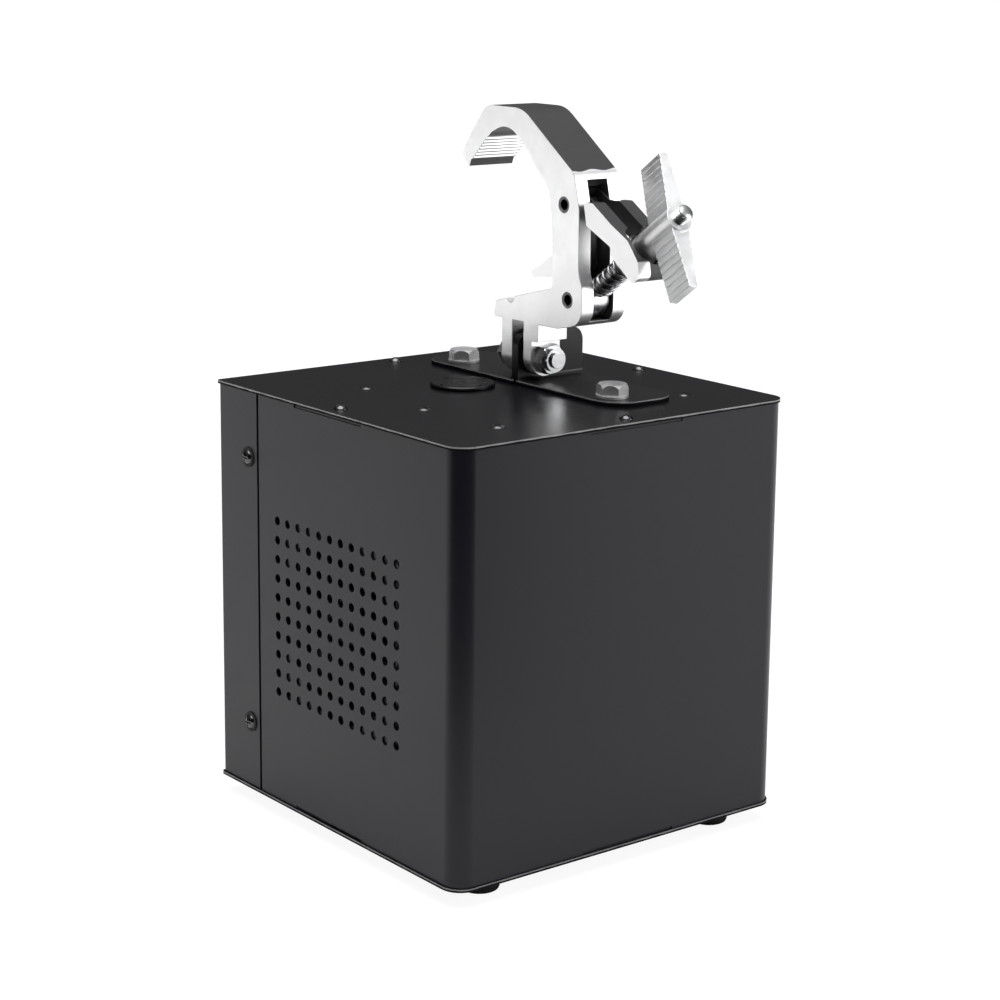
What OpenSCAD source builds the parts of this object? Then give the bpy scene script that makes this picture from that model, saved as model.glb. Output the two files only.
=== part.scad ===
// Hanging fog machine: a sheet-metal cube with its fluid, heating and control
// gear inside, and a quick-trigger tube clamp on a folded bracket on top.
// Origin: centre of the footprint, on the plane the feet stand on. +Z up.
// The vented side faces -X, the plain side -Y, the connector panel +Y and the
// fog outlet +X.

/* [Casing] */
// Width and depth over the top and bottom plates
box_w = 250; // [240:1:260]
// Height over the two plates
box_h = 257; // [255:1:262]
// Thickness of the top and bottom plates
plate_t = 2; // [1.5:0.1:2.5]
// Thickness of the folded wall sheet
sheet_t = 1.5; // [1:0.1:2]
// How far the plates stand out past the walls
lip = 1; // [0.5:0.1:1.5]
// Radius of the two folded front corners
corner_r = 12; // [8:1:16]
// Height of the rubber feet
foot_h = 11; // [8:1:14]
// Radius of the rubber feet
foot_r = 13; // [10:0.5:15]

/* [Vent] */
// Columns of holes in the vent
vent_cols = 12; // [4:1:12]
// Rows of holes in the vent
vent_rows = 10; // [4:1:10]
// Distance between columns
vent_px = 11.25; // [9:0.25:11.5]
// Distance between rows
vent_pz = 12; // [9:0.25:12]
// Radius of one vent hole
vent_r = 2.75; // [2:0.05:3]

/* [Bracket] */
// Width of the folded bracket
br_w = 52; // [48:1:54]
// Thickness of the bracket sheet
br_t = 3; // [2.5:0.1:4]
// Distance between the two bracket bolts
br_pitch = 146; // [140:1:160]
// Height of the ears above the tilt bolt
ear_up = 15.5; // [14:0.5:16]

/* [Clamp] */
// Width of the cast clamp
cl_w = 34; // [32:1:36]
// Width of the slot between the clamp's two cheeks
cl_slot = 15.2; // [14.8:0.1:15.6]
// Diameter of the bolts and of the eye bolt
bolt_d = 10; // [10:0.1:10.4]
// Span of the wing nut, tip to tip
wing_span = 89; // [70:1:90]
// Thread pitch of the eye bolt
thread_p = 1.5; // [1.25:0.25:1.5]
// Diameter of the two cheek pins
pin_d = 9.7; // [9:0.1:9.8]

/* [Fog outlet] */
// Outside radius of the outlet collar
collar_r = 25; // [24:0.5:28]
// How far the collar stands out of the wall
collar_len = 13; // [12:0.5:16]

/* [Hidden] */
$fn = 48;
eps = 0.01;

hw = box_w / 2;                    // half width over the plates
wo = hw - lip;                     // outer face of the walls
wi = wo - sheet_t;                 // inner face of the walls
z_bot = foot_h;                    // underside of the bottom plate
z_floor = z_bot + plate_t;         // inside floor
z_top = foot_h + box_h;            // top face of the top plate
z_ceil = z_top - plate_t;          // underside of the top plate
seam_y = 78;                       // where the wrap ends and the rear panel begins
tab_l = 70;                        // length of a folded screw tab
tab_c = 4;                         // centre of the tabs along a wall
side_y = 90;                       // side screws
side_z = [55, 225];

vent_y0 = -66; vent_z0 = 83;       // first vent hole

xc = 35;                           // clamp and bracket centre line
yc = 4.5;                          // plane between the two bracket ears
fx = -5.5;                         // tilt axis and bolt line, from the clamp's middle
br_x = xc + 7;                     // middle of the bracket
by = yc - 3.5;                     // middle between the bracket bolts
zt = z_top + 17.5;                 // tilt axis

// pivots of the clamp, from the tilt axis, as [y, z]
p1 = [-42.4, 97.8];                // jaw pin
p2 = [-47, 41];                    // eye bolt pin
bolt_a = 144.5;                    // direction of the eye bolt, from +Y towards +Z
bolt_l = 104;                      // from its pin to its end
seat_s = 48;                       // centre of the lever's rounded seat, along the bolt
seat_r = 8.5;
shut_a = 12;                       // how far the bolt turns in the lever as the jaw shuts
s_wash = seat_s + seat_r + 0.3;    // underside of the saddle washer
s_nut = s_wash + 3.3;              // underside of the wing nut
s_hub_end = 96.5;
s_wing = 85.5;
dv = [cos(bolt_a), sin(bolt_a)];
c0 = p2 + seat_s * dv;

cap_xy = [-12.5, 20];                 // filler
tank_x = [-60, 28]; tank_y = [-10, 64]; tank_z = [z_floor, 238];
pick_xy = [17, 53];
fan_y = -4; fan_z = 137; fan_x = -wi; fan_t = 25;
heat_y = -58; heat_z = 100;
btn_x = [75, 55, 35, 15]; btn_z = 165;
dmx_x = [-80, -45]; dmx_z = 195;
iec = [-70, 62];

// ---------- helpers ----------
// 2D x, y become Y, Z and the extrusion runs along X, centred
module yz(len) rotate([90, 0, 90]) linear_extrude(height = len, center = true) children();
// 2D x, y become X, Z and the extrusion runs along +Y from y0 to y1
module xz(y0, y1) translate([0, y1, 0]) rotate([90, 0, 0]) linear_extrude(height = y1 - y0) children();
module at_clamp() translate([xc, yc, zt]) children();
// +Z of the child runs along the eye bolt, its X stays X
module along_bolt(s) at_clamp() translate([0, p2[0], p2[1]]) rotate([bolt_a - 90, 0, 0]) translate([0, 0, s]) children();
module ycyl(r, y0, y1) translate([0, y1, 0]) rotate([90, 0, 0]) cylinder(r = r, h = y1 - y0);
module xcyl(r, x0, x1) translate([x0, 0, 0]) rotate([0, 90, 0]) cylinder(r = r, h = x1 - x0);
module block(x, y, z) translate([x[0], y[0], z[0]]) cube([x[1] - x[0], y[1] - y[0], z[1] - z[0]]);
module hexa(af, h) cylinder(d = af / cos(30), h = h, $fn = 6);
module ring(ro, ri, h) difference() { cylinder(r = ro, h = h); translate([0, 0, -1]) cylinder(r = ri, h = h + 2); }

// corner [x, y, r] of a closed outline, replaced by an arc of radius r
function unit(v) = v / norm(v);
function xy(p) = [p[0], p[1]];
function arc_at(a, b, c, step = 7) = let (
    u = unit(xy(a) - xy(b)), w = unit(xy(c) - xy(b)),
    half = acos(max(-1, min(1, u * w))) / 2,
    t = b[2] / tan(half), turn = 180 - 2 * half,
    centre = xy(b) + unit(u + w) * (b[2] / sin(half)),
    s = xy(b) + u * t, v0 = s - centre,
    sgn = (u[0] * w[1] - u[1] * w[0]) > 0 ? -1 : 1,
    n = max(1, ceil(turn / step)))
  b[2] <= 0 ? [xy(b)] :
  [for (i = [0:n]) let (a1 = sgn * turn * i / n)
     centre + [v0[0] * cos(a1) - v0[1] * sin(a1), v0[0] * sin(a1) + v0[1] * cos(a1)]];
function rounded(pts) = let (n = len(pts))
  [for (i = [0:n - 1]) each arc_at(pts[(i + n - 1) % n], pts[i], pts[(i + 1) % n])];

// a tube of n sides swept along points, with its ends closed
function tang(p, i) = let (n = len(p)) unit(p[min(i + 1, n - 1)] - p[max(i - 1, 0)]);
function side0(t) = unit(abs(t[2]) < 0.9 ? cross(t, [0, 0, 1]) : cross(t, [0, 1, 0]));
function sides(p, i, acc) = i >= len(p) ? acc :
  let (t = tang(p, i), prev = acc[len(acc) - 1], q = prev - (prev * t) * t)
  sides(p, i + 1, concat(acc, [unit(q)]));
module tube_along(p, r, n = 8) {
  m = len(p);
  s = sides(p, 1, [side0(tang(p, 0))]);
  pts = [for (i = [0:m - 1]) let (t = tang(p, i), b = cross(t, s[i]))
         for (k = [0:n - 1]) p[i] + r * (cos(360 * k / n) * s[i] + sin(360 * k / n) * b)];
  faces = concat(
    [[for (k = [0:n - 1]) k]],
    [for (i = [0:m - 2]) for (k = [0:n - 1])
      [i * n + k, (i + 1) * n + k, (i + 1) * n + (k + 1) % n, i * n + (k + 1) % n]],
    [[for (k = [n - 1:-1:0]) (m - 1) * n + k]]);
  polyhedron(points = pts, faces = faces, convexity = 6);
}
// points on a smooth curve through the given ones
function cr(a, b, c, d, t) = 0.5 * ((2 * b) + (c - a) * t + (2 * a - 5 * b + 4 * c - d) * t * t + (3 * b - a - 3 * c + d) * t * t * t);
function smooth(p, k = 5) = let (n = len(p))
  concat([for (i = [0:n - 2]) for (j = [0:k - 1])
    cr(p[max(i - 1, 0)], p[i], p[i + 1], p[min(i + 2, n - 1)], j / k)], [p[n - 1]]);

// footprint with two rounded front corners
module footprint(h, r) {
  translate([-h, -h + r]) square([2 * h, 2 * h - r]);
  translate([-h + r, -h]) square([2 * (h - r), r + eps]);
  for (s = [-1, 1]) translate([s * (h - r), -h + r]) circle(r = r);
}
module plate_2d() intersection() {
  footprint(hw, corner_r + lip);
  union() {
    translate([-hw, -hw]) square([2 * hw, 2 * hw - 3]);
    translate([-hw + 3, -hw]) square([2 * hw - 6, 2 * hw]);
    for (s = [-1, 1]) translate([s * (hw - 3), hw - 3]) circle(r = 3);
  }
}
// [turn, offset along the wall] of the tabs, each drawn for the -Y wall
wrap_tabs = [[0, tab_c], [90, 0], [270, -tab_c]];
module per_tab(list) for (t = list) rotate([0, 0, t[0]]) translate([t[1], 0, 0]) children();
module pan_head(r, h) rotate_extrude() intersection() {
  square([r, h]);
  translate([0, h - (r * r + h * h) / (2 * h)]) circle(r = (r * r + h * h) / (2 * h), $fn = 96);
}
module pan_screw(r, h, sr, sl) union() {
  difference() {
    pan_head(r, h);
    for (a = [0, 90]) rotate([0, 0, a]) translate([-r * 0.62, -0.45, h - 1.2]) cube([r * 1.24, 0.9, 2]);
  }
  translate([0, 0, -sl]) cylinder(r = sr, h = sl + eps);
}

// ---------- casing ----------
// folded tab on the inside of a wall, its outer bend showing as a shallow step
module tab_step(z, up) translate([-tab_l / 2, -wo - 1, z - (up ? 1.8 : 0)]) cube([tab_l, 1.7, 1.8]);
module tab(z) translate([-tab_l / 2 + 2, -wi - 0.4, z]) cube([tab_l - 4, 19, sheet_t]);
module tab_hole(z) translate([0, -hw + 11, z - 2]) cylinder(r = 1.7, h = 6);

module wrap_shell() color([0.16, 0.16, 0.17]) difference() {
  union() {
    translate([0, 0, z_floor]) linear_extrude(height = z_ceil - z_floor) difference() {
      footprint(wo, corner_r);
      footprint(wi, corner_r - sheet_t);
      translate([-hw, seam_y]) square([box_w, box_w]);
    }
    // stepped strip behind each rear panel flange
    for (s = [-1, 1]) translate([s > 0 ? wi - 1.5 : -wi, seam_y - 12, z_floor + 7]) cube([1.5, 34, z_ceil - z_floor - 14]);
    per_tab(wrap_tabs) { tab(z_ceil - sheet_t); tab(z_floor); }
  }
  per_tab(wrap_tabs) {
    tab_step(z_ceil, true); tab_step(z_floor, false);
    tab_hole(z_ceil); tab_hole(z_floor);
  }
  for (i = [0:vent_cols - 1], j = [0:vent_rows - 1])
    translate([-wo - 1, vent_y0 + i * vent_px, vent_z0 + j * vent_pz]) rotate([0, 90, 0]) cylinder(r = vent_r, h = 4, $fn = 16);
  translate([wo - 4, heat_y, heat_z]) rotate([0, 90, 0]) cylinder(r = collar_r - 2.5, h = 8);
  for (s = [-1, 1], z = side_z) translate([s * wo, side_y, z]) rotate([0, 90, 0]) cylinder(r = 1.7, h = 12, center = true, $fn = 24);
}

module rear_panel() color([0.16, 0.16, 0.17]) difference() {
  union() {
    translate([0, 0, z_floor + 0.3]) linear_extrude(height = z_ceil - z_floor - 0.6) difference() {
      union() {
        translate([-wo, seam_y + 2.2]) square([2 * wo, wo - seam_y - 2.2 - 3]);
        translate([-wo + 3, wo - 4]) square([2 * wo - 6, 4]);
        for (s = [-1, 1]) translate([s * (wo - 3), wo - 3]) circle(r = 3);
      }
      translate([-wi, 0]) square([2 * wi, wi - 1.5]);
      translate([-wi + 1.5, 0]) square([2 * wi - 3, wi]);
      for (s = [-1, 1]) translate([s * (wi - 1.5), wi - 1.5]) circle(r = 1.5);
    }
    per_tab([[180, -tab_c]]) { tab(z_ceil - sheet_t - 0.3); tab(z_floor + 0.3); }
  }
  per_tab([[180, -tab_c]]) {
    tab_step(z_ceil, true); tab_step(z_floor, false);
    tab_hole(z_ceil - 0.3); tab_hole(z_floor + 0.3);
  }
  for (s = [-1, 1], z = side_z) translate([s * wo, side_y, z]) rotate([0, 90, 0]) cylinder(r = 1.8, h = 12, center = true, $fn = 24);
  block([12, 78], [wi - 1, wo + 1], [196, 224]);
  for (x = btn_x) translate([x, 0, btn_z]) ycyl(5, wi - 1, wo + 1);
  for (x = dmx_x) translate([x, 0, dmx_z]) ycyl(12.2, wi - 1, wo + 1);
  block([iec[0] - 14, iec[0] + 14], [wi - 1, wo + 1], [iec[1] - 24, iec[1] + 24]);
}

top_flat_xy = [[-65, 48], [-75, -25], [-71, -90], [80, -80]];
top_edge_xy = [[-114, 4], [4, -114], [114, 0], [4, 114]];

module top_plate() color([0.13, 0.13, 0.14]) translate([0, 0, z_ceil]) difference() {
  linear_extrude(height = plate_t) plate_2d();
  for (p = top_edge_xy) translate([p[0], p[1], -1]) cylinder(r = 1.7, h = 5, $fn = 24);
  for (p = top_flat_xy) translate([p[0], p[1], -1]) cylinder(r = 1.7, h = 5, $fn = 24);
  for (s = [-1, 1]) translate([xc + fx, by + s * br_pitch / 2, -1]) cylinder(r = 5.5, h = 5);
  translate([cap_xy[0], cap_xy[1], -1]) cylinder(r = 17, h = 5);
}

foot_xy = [[-90, -101], [90, -101], [-90, 101], [90, 101]];
module bottom_plate() color([0.13, 0.13, 0.14]) translate([0, 0, z_bot]) difference() {
  linear_extrude(height = plate_t) plate_2d();
  for (p = foot_xy) translate([p[0], p[1], -1]) cylinder(r = 2.2, h = 5, $fn = 24);
  for (p = top_edge_xy) translate([p[0], p[1], -1]) cylinder(r = 1.7, h = 5, $fn = 24);
}
module rubber_feet() color([0.08, 0.08, 0.08]) for (p = foot_xy) translate([p[0], p[1], 0]) rotate_extrude() difference() {
  polygon([[0, 0], [foot_r - 3, 0], [foot_r - 1.6, 0.6], [foot_r - 1, 2], [foot_r, foot_h], [0, foot_h]]);
  translate([-1, -1]) square([6, 6]);
  translate([-1, 0]) square([3.2, foot_h + 1]);
}
module foot_screws() color([0.6, 0.6, 0.62]) for (p = foot_xy) translate([p[0], p[1], 5]) {
  translate([0, 0, -2.6]) rotate([180, 0, 0]) translate([0, 0, -2.6]) pan_head(4.2, 2.4);
  cylinder(r = 2.2, h = 12, $fn = 24);
}
module top_edge_screws() color([0.2, 0.2, 0.21]) for (p = top_edge_xy) translate([p[0], p[1], z_top]) pan_screw(4.25, 2.6, 1.7, 9);
module top_fixing_screws() color([0.2, 0.2, 0.21]) for (p = top_flat_xy) translate([p[0], p[1], z_top]) pan_screw(4.2, 1.4, 1.7, 8);
module side_screw_washers() color([0.06, 0.06, 0.06]) for (s = [-1, 1], z = side_z) translate([s * wo, side_y, z]) rotate([0, s * 90, 0]) ring(6.3, 1.8, 0.8);
module side_screws() color([0.3, 0.3, 0.31]) for (s = [-1, 1], z = side_z) translate([s * (wo + 0.8), side_y, z]) rotate([0, s * 90, 0]) pan_screw(4.5, 2.4, 1.7, 9);
module bottom_screws() color([0.3, 0.3, 0.31]) for (p = top_edge_xy) translate([p[0], p[1], z_bot]) rotate([180, 0, 0]) pan_screw(4.25, 2.4, 1.7, 9);

// ---------- bracket ----------
// one folded angle: flat strip on the plate, bend, and upright ear
module angle_2d(len) {
  ri = 3; ro = ri + br_t;
  translate([-len, 0]) square([len - ro, br_t]);
  translate([-br_t, ro]) square([br_t, zt - z_top + ear_up - ro]);
  intersection() {
    translate([-ro, ro]) difference() { circle(r = ro); circle(r = ri); }
    translate([-ro, 0]) square([ro, ro]);
  }
}
module ear_2d() {
  r = 9; h = br_w / 2; top = zt - z_top + ear_up;
  translate([-h, -1]) square([br_w, top - r + 1]);
  translate([-h + r, 0]) square([br_w - 2 * r, top]);
  for (s = [-1, 1]) translate([s * (h - r), top - r]) circle(r = r);
}
module angle(len, hole) intersection() {
  difference() {
    yz(br_w) angle_2d(len);
    translate([xc + fx - br_x, 0, zt - z_top]) ycyl(5.2, -br_t - 1, 1);
    translate([xc + fx - br_x, -hole, -1]) cylinder(r = 5.5, h = br_t + 2);
  }
  // rounded outline of the strip and of the ear
  union() {
    translate([0, 0, -1]) linear_extrude(height = br_t + 1.01) {
      translate([-br_w / 2, -len + 18]) square([br_w, len]);
      translate([-br_w / 2 + 18, -len]) square([br_w - 36, 19]);
      for (s = [-1, 1]) translate([s * (br_w / 2 - 18), -len + 18]) circle(r = 18);
    }
    xz(-br_t - 3.01, 1) ear_2d();
  }
}
module bracket_angle_front() color([0.12, 0.12, 0.13]) translate([br_x, yc, z_top]) angle(95.5, br_pitch / 2 + yc - by);
module bracket_angle_rear() color([0.12, 0.12, 0.13]) translate([br_x, yc, z_top]) mirror([0, 1, 0]) angle(98.5, br_pitch / 2 + by - yc);
module per_bolt() for (s = [-1, 1]) translate([xc + fx, by + s * br_pitch / 2, 0]) children();
module bracket_bolts() color([0.45, 0.45, 0.46]) per_bolt() {
  translate([0, 0, z_top + br_t + 2]) intersection() {
    rotate([0, 0, 12]) hexa(17, 6.4);
    cylinder(r1 = 12, r2 = 8.6, h = 6.4);
  }
  translate([0, 0, z_top - 19]) cylinder(d = bolt_d, h = 19 + br_t + 2 + eps);
}
module bracket_washers() color([0.5, 0.5, 0.51]) per_bolt() {
  translate([0, 0, z_top + br_t]) ring(10, 5.2, 2);
  translate([0, 0, z_ceil - 2]) ring(10, 5.2, 2);
}
module bracket_nuts() color([0.5, 0.5, 0.51]) per_bolt() translate([0, 0, z_ceil - 10]) difference() {
  hexa(17, 8);
  translate([0, 0, -1]) cylinder(d = bolt_d, h = 10);
}
module tilt_bolt() color([0.7, 0.7, 0.71]) at_clamp() translate([fx, 0, 0]) {
  ycyl(bolt_d / 2, -25.5, 16.3);
  translate([0, 22.7, 0]) rotate([90, 0, 0]) hexa(17, 6.5);
}
module tilt_nut() color([0.75, 0.75, 0.76]) at_clamp() translate([fx, 0, 0]) difference() {
  union() {
    translate([0, -13.3, 0]) rotate([90, 0, 0]) intersection() { rotate([0, 0, 8]) hexa(17, 7.4); cylinder(r1 = 12.5, r2 = 9, h = 7.4); }
    ycyl(7.4, -23.6, -20.6);
  }
  ycyl(bolt_d / 2, -30, 0);
}
module tilt_washers() color([0.55, 0.55, 0.56]) at_clamp() for (y = [-br_t, 5.3]) translate([fx, y, 0]) rotate([90, 0, 0]) ring(10.5, 5.05, 5.3 - br_t);

// ---------- clamp ----------
tooth_a = [32, 132.5]; tooth_b = [47.5, 117];
function teeth(n) = [for (i = [0:2 * n - 1]) let (q = tooth_a + (tooth_b - tooth_a) * i / (2 * n - 1))
  [q[0] + (i % 2) * 0.75, q[1] + (i % 2) * 0.75, 0]];
clamp_outline = concat(
  [[50.5, 112.5, 1], [59, 121, 4], [34, 152.6, 15], [-2.1, 152.6, 24], [-51.5, 117.2, 9],
   [-56.6, 96, 20], [-56.8, 58, 20], [-60.5, 50, 8], [-60.5, 27.5, 12], [-38, 22.5, 14],
   [24.5, 22.5, 1.5], [22.5, 32.3, 1.5], [-32.3, 46.5, 3], [-32.3, 66, 20], [-31, 89, 24],
   [-28.2, 105, 12], [-3, 131.5, 22], [13, 142.5, 18], [28, 136, 5]],
  teeth(8));
module clamp_body() color([0.8, 0.8, 0.81]) at_clamp() difference() {
  union() {
    yz(cl_w) difference() {
      polygon(rounded(clamp_outline));
      translate([7.6, 36.4]) circle(r = 3.6, $fn = 32);
    }
    // two legs astride the bracket's ears
    xz(5.5, 16) leg_2d();
    xz(-13, -5.5) leg_2d();
    block([fx - leg_r, fx + leg_r], [-19.5, -12.5], [11.5, 23]);
  }
  yz(cl_slot) {
    polygon(rounded([[-80, 49, 0], [-80, 113, 0], [-36, 113, 8], [-20, 100, 0], [-20, 49, 0]]));
    translate([p2[0], p2[1]]) circle(r = 12.6);
    polygon([[-80, 28.4], [p2[0], 28.4], [p2[0], 60], [-80, 60]]);
  }
  translate([0, p1[0], p1[1]]) xcyl(pin_d / 2, -30, 30);
  translate([0, p2[0], p2[1]]) xcyl(pin_d / 2, -30, 30);
  translate([fx, 0, 0]) ycyl(bolt_d / 2 + 0.06, -40, 40);
}
// leg outline across X, round about the tilt bolt
leg_r = 11.5;
module leg_2d() {
  translate([fx, 0]) circle(r = leg_r);
  translate([fx - leg_r, 0]) square([2 * leg_r, 25]);
}
module roll_pin() difference() {
  xcyl(pin_d / 2, -cl_w / 2 + 0.3, cl_w / 2 - 0.3);
  xcyl(3.25, -cl_w, cl_w);
}
module jaw_pin() color([0.35, 0.35, 0.36]) at_clamp() translate([0, p1[0], p1[1]]) roll_pin();
module eye_bolt_pin() color([0.35, 0.35, 0.36]) at_clamp() translate([0, p2[0], p2[1]]) roll_pin();

lever_w = 31;
lever_head = [[-59, 100.5, 1], [-67, 100.8, 3], [-84, 90, 10], [-98.8, 82.2, 6], [-108, 71, 6], [-109.6, 61.5, 4],
  [-103.5, 57.5, 4], [-84.2, 71.6, 2], [-83.4, 77, 2], [-69.5, 83.5, 3], [-61.5, 87.2, 2]];
module in_lever(a, s) translate([0, c0[0], c0[1]]) rotate([a - 90, 0, 0]) translate([0, 0, s]) children();
module jaw_lever() color([0.35, 0.35, 0.36]) at_clamp() difference() {
  union() {
    yz(lever_w) polygon(rounded(lever_head));
    yz(cl_slot - 0.8) {
      translate([p1[0], p1[1]]) circle(r = 10);
      polygon([[p1[0] - 2, p1[1] + 9.8], [-57, 100.8], [-64, 100.5], [-66, 86], [p1[0], p1[1] - 10]]);
      polygon([[-46, 96], [-46, 60], [-40, 53.6], [-0.5, 48.9], [-0.5, 53], [-9, 57], [-17, 62.5], [-22, 65.5], [-32.4, 71], [-33, 96]]);
    }
  }
  translate([0, p1[0], p1[1]]) xcyl(pin_d / 2 + 0.05, -30, 30);
  // open fork that the eye bolt swings in
  in_lever(bolt_a - shut_a, 0) translate([-5.8, -7.6, -40]) cube([11.6, 61.4, 110]);
  // round pocket over the seat, tangent to it through the swing
  for (a = [bolt_a + 1.5, bolt_a - shut_a / 2, bolt_a - shut_a - 1]) in_lever(a, seat_r) cylinder(r = 13, h = 40);
}
module eye_bolt() color([0.75, 0.75, 0.76]) union() {
  along_bolt(0) difference() {
    union() {
      xcyl(11, -cl_slot / 2 + 0.4, cl_slot / 2 - 0.4);
      cylinder(d = bolt_d, h = bolt_l - 1.2);
      translate([0, 0, bolt_l - 1.2]) cylinder(r1 = bolt_d / 2, r2 = bolt_d / 2 - 1, h = 1.2);
    }
    xcyl(pin_d / 2 + 0.05, -30, 30);
  }
}
module saddle_washer() color([0.1, 0.1, 0.1]) along_bolt(s_wash) rotate_extrude() difference() {
  polygon([[0, 0], [10.6, 0], [11, 0.4], [11, 1.8], [9.6, 3], [0, 3]]);
  translate([-1, -1]) square([bolt_d / 2 + 1.3, 6]);
}
rib_p = 4.6;
module wing_nut() color([0.82, 0.83, 0.84]) along_bolt(s_nut) rotate([0, 0, -13]) difference() {
  union() {
    cylinder(r = 8.4, h = s_hub_end - s_nut);
    translate([0, 0, s_wing - s_nut - 10]) linear_extrude(height = 20)
      polygon(rounded([[2.8, -wing_span / 2, 1], [6, -8, 6], [6, 8, 6], [2.8, wing_span / 2, 1],
        [-2.8, wing_span / 2, 1], [-6, 8, 6], [-6, -8, 6], [-2.8, -wing_span / 2, 1]]));
  }
  translate([0, 0, -1]) cylinder(r = bolt_d / 2 + 0.06, h = 60);
  for (s = [-1, 1], f = [-1, 1], k = [0:6]) let (yk = wing_span / 2 - 4.2 - k * rib_p)
    translate([f * (2.8 + (wing_span / 2 - yk) * 3.2 / (wing_span / 2 - 8)), s * yk, s_wing - s_nut]) cube([1.0, 1.1, 30], center = true);
}
// spring between the eye and the lever: coils by rule
spring_r = 6.2; spring_wire = 1.1; spring_turns = 6.5; spring_s = [13.2, 46.6];
module jaw_spring() color([0.5, 0.5, 0.52]) along_bolt(spring_s[0]) tube_along(
  [for (i = [0:spring_turns * 18]) let (a = i * 20, t = a / (360 * spring_turns),
    z = (spring_s[1] - spring_s[0]) * (t < 0.08 ? t * 0.4 : t > 0.92 ? 1 - (1 - t) * 0.4 : 0.032 + (t - 0.08) * 0.936 / 0.84))
    [spring_r * cos(a), spring_r * sin(a), z]], spring_wire, 8);

// ---------- fluid ----------
module filler_cap() color([0.12, 0.12, 0.13]) translate([cap_xy[0], cap_xy[1], 0]) {
  translate([0, 0, z_top + 0.15]) difference() {
    rotate_extrude() polygon([[0, 0], [19.6, 0], [20, 0.5], [20, 1.7], [19.3, 2.5], [14, 2.5], [13.4, 2.1], [0, 2.1]]);
    for (a = [0:90:270]) rotate([0, 0, a]) translate([15.5, -1.5, 2]) cube([2.2, 3, 2]);
  }
  translate([0, 0, z_top - 10]) rotate_extrude() polygon([[12.4, 0], [14.6, 0], [14.9, 2], [14.9, 10.2], [12.4, 10.2]]);
}
module filler_neck() color([0.2, 0.2, 0.2]) translate([cap_xy[0], cap_xy[1], 228]) {
  ring(16.9, 15.2, z_top - 228);
}
module tank_void() block([tank_x[0] + 2.5, tank_x[1] - 2.5], [tank_y[0] + 2.5, tank_y[1] - 2.5], [tank_z[0] + 2.5, tank_z[1] - 2.5]);
module fluid_tank() color([0.85, 0.87, 0.88, 0.7]) difference() {
  block(tank_x, tank_y, tank_z);
  tank_void();
  translate([cap_xy[0], cap_xy[1], 200]) cylinder(r = 16.9, h = 60);
  translate([pick_xy[0], pick_xy[1], 200]) cylinder(r = 3.2, h = 60);
}
module pickup_tube() color([0.7, 0.7, 0.65]) translate([pick_xy[0], pick_xy[1], 0]) {
  difference() { translate([0, 0, 28]) cylinder(r = 3.2, h = 224); translate([0, 0, 20]) cylinder(r = 2, h = 240); }
  translate([0, 0, 18]) difference() { cylinder(r = 7, h = 16); translate([0, 0, 2]) cylinder(r = 3.2, h = 20); }
}
pump_c = [72, 44, 52];
module pump_bracket() color([0.55, 0.55, 0.56]) difference() {
  union() { block([48, 96], [22, 66], [z_floor, z_floor + 1.5]); block([48, 49.5], [22, 66], [z_floor, 74]); }
  translate([42, pump_c[1], pump_c[2]]) xcyl(8.2, 0, 20);
}
module pump_body() color([0.8, 0.7, 0.4]) translate(pump_c) difference() {
  union() { xcyl(8, -26, 30); xcyl(6, 30, 40); xcyl(13, -22.4, -18); }
  xcyl(5.3, -20, 22);
  xcyl(2, -40, 50);
}
module pump_plunger() color([0.7, 0.7, 0.72]) translate(pump_c) xcyl(5, -6, 18);
module pump_coil() color([0.1, 0.1, 0.1]) translate(pump_c) difference() {
  union() { translate([-17.8, -17, -17]) cube([40, 34, 34]); translate([-8, -9, 16]) cube([20, 18, 8]); }
  xcyl(8, -40, 50);
}
module suction_hose() color([0.75, 0.75, 0.7]) tube_along(smooth([[pick_xy[0], pick_xy[1], 252], [17, 53, 256], [22, 56, 259],
  [32, 60, 254], [36, 63, 236], [36, 60, 160], [36, 52, 90], [37, 46, 62], [41, 44, 54], [46, 44, 52]], 5), 3.4);
module pressure_pipe() color([0.75, 0.5, 0.3]) tube_along(smooth([[112, 44, 52], [116, 43, 52], [118, 38, 52], [117, 20, 52], [112, 0, 54], [86, -14.6, 60], [50, -14.8, 66],
  [24, -15, 70], [14, -22, 71], [11, -40, 78], [12, -54, 90], [17, -58, 98.5], [23, -58, 100], [29.8, -58, 100]], 4), 2);

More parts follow.
